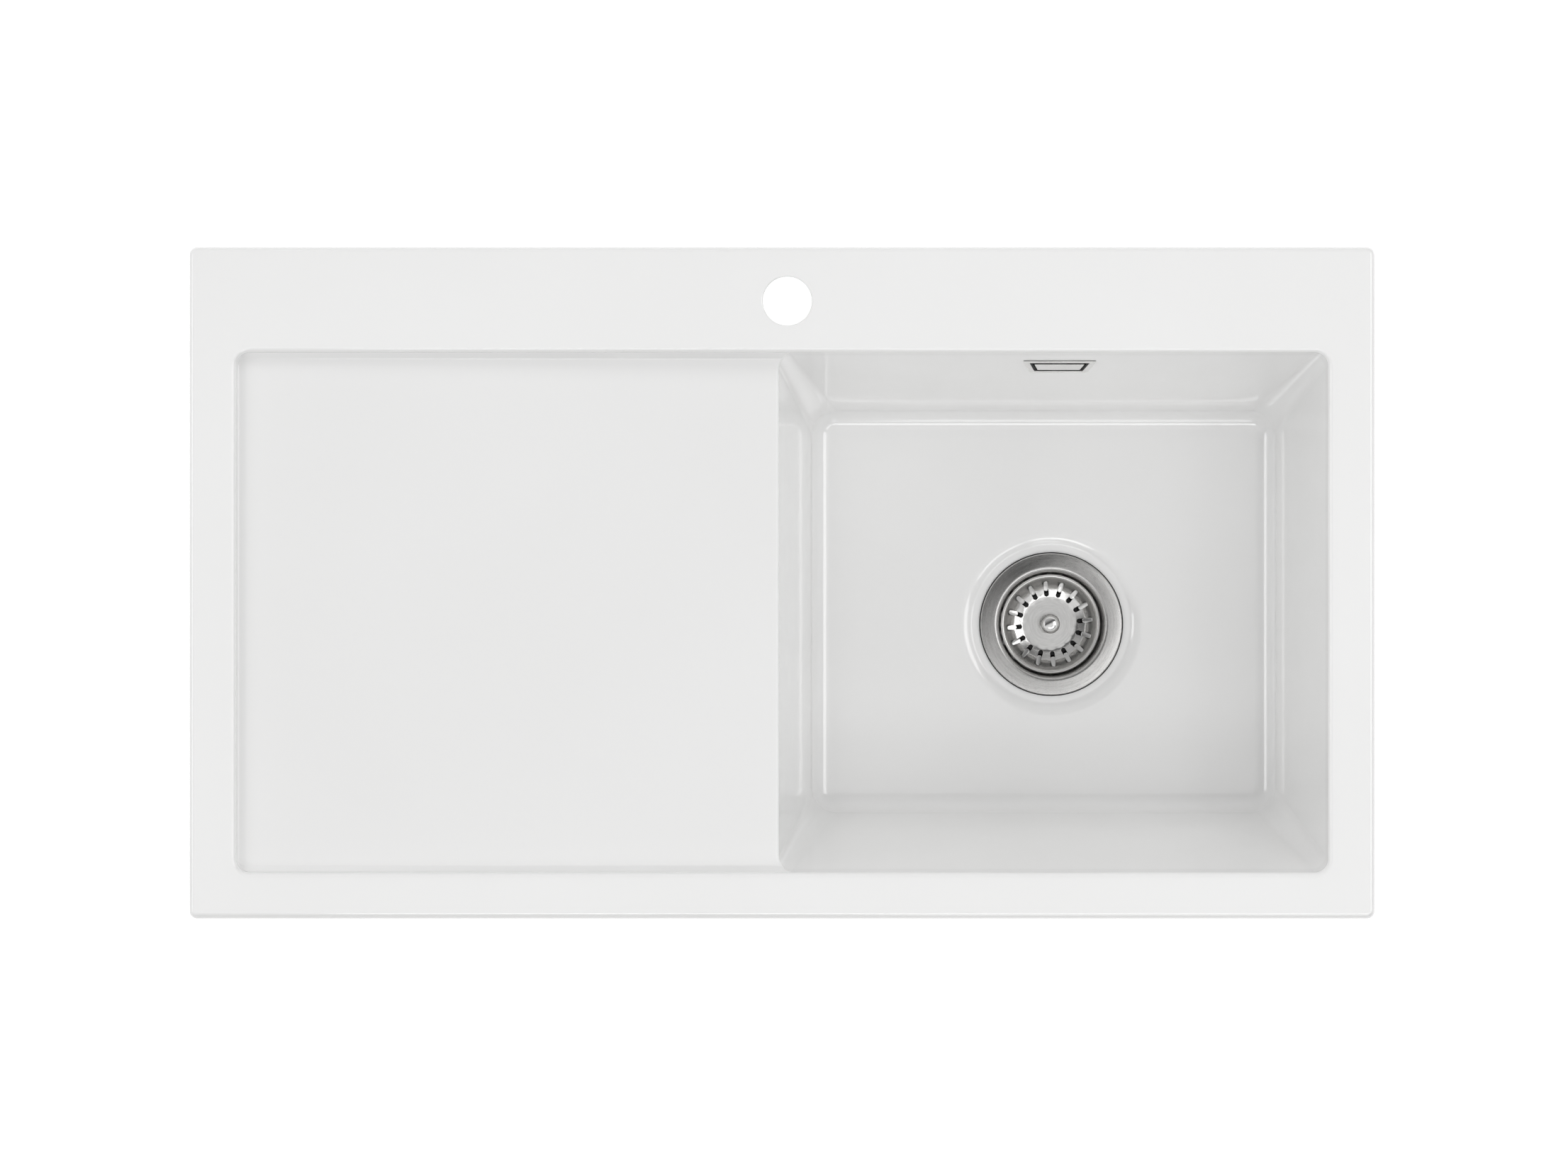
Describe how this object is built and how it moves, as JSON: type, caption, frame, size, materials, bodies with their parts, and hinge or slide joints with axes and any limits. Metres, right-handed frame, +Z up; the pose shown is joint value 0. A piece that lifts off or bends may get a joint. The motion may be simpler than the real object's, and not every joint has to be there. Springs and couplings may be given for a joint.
{
  "type": "kitchen sink",
  "caption": "White glazed-ceramic inset sink with a flat drainer beside a deep bowl, a tap hole, a steel overflow cover and a lift-out basket strainer on a plastic waste.",
  "frame": {"origin": "centre of the rim's underside, on the plane where the sink rests on the worktop", "axes": "+X to the right along the sink, from the drainer to the bowl, +Y back to the tap ledge, +Z up"},
  "size_m": [0.9, 0.51, 0.305],
  "materials": {
    "ceramic": "white gloss glaze",
    "brushed_steel": "brushed in rings",
    "basket_steel": "fine satin",
    "polished_steel": "polished",
    "black_rubber": "matt",
    "white_plastic": "moulded, fine grain",
    "pipe_plastic": "extruded, smooth",
    "black_plastic": "moulded, fine grain",
    "brass": "turned"
  },
  "bodies": {
    "sink": {"sink_body": "ceramic", "strainer_cup": "brushed_steel", "flange_seal": "black_rubber", "body_gasket": "black_rubber", "waste_body": "white_plastic", "screw_insert": "brass", "screw_washer": "black_rubber", "clamp_screw": "polished_steel", "overflow_front_gasket": "black_rubber", "overflow_bezel": "brushed_steel", "overflow_plate": "basket_steel", "overflow_screw": "polished_steel", "overflow_rear_gasket": "black_rubber", "overflow_housing": "black_plastic", "overflow_pipe": "pipe_plastic", "pipe_nut_upper": "white_plastic", "pipe_nut_lower": "white_plastic", "pipe_seal_upper": "black_rubber", "pipe_seal_lower": "black_rubber"},
    "clip": {"stem_clip": "polished_steel"},
    "basket": {"strainer_basket": "basket_steel", "basket_knob": "polished_steel", "basket_stem": "polished_steel", "basket_seal": "black_rubber", "seal_washer": "polished_steel", "stem_nut": "polished_steel"}
  },
  "joints": [
    {"name": "basket_turn", "type": "hinge", "parent": "sink", "child": "clip", "pos_m": [0.212, -0.03225, -0.2276], "axis": [0, 0, 1], "continuous": true},
    {"name": "basket_lift", "type": "slide", "parent": "clip", "child": "basket", "axis": [0, 0, 1], "range_m": [0, 0.26]}
  ]
}
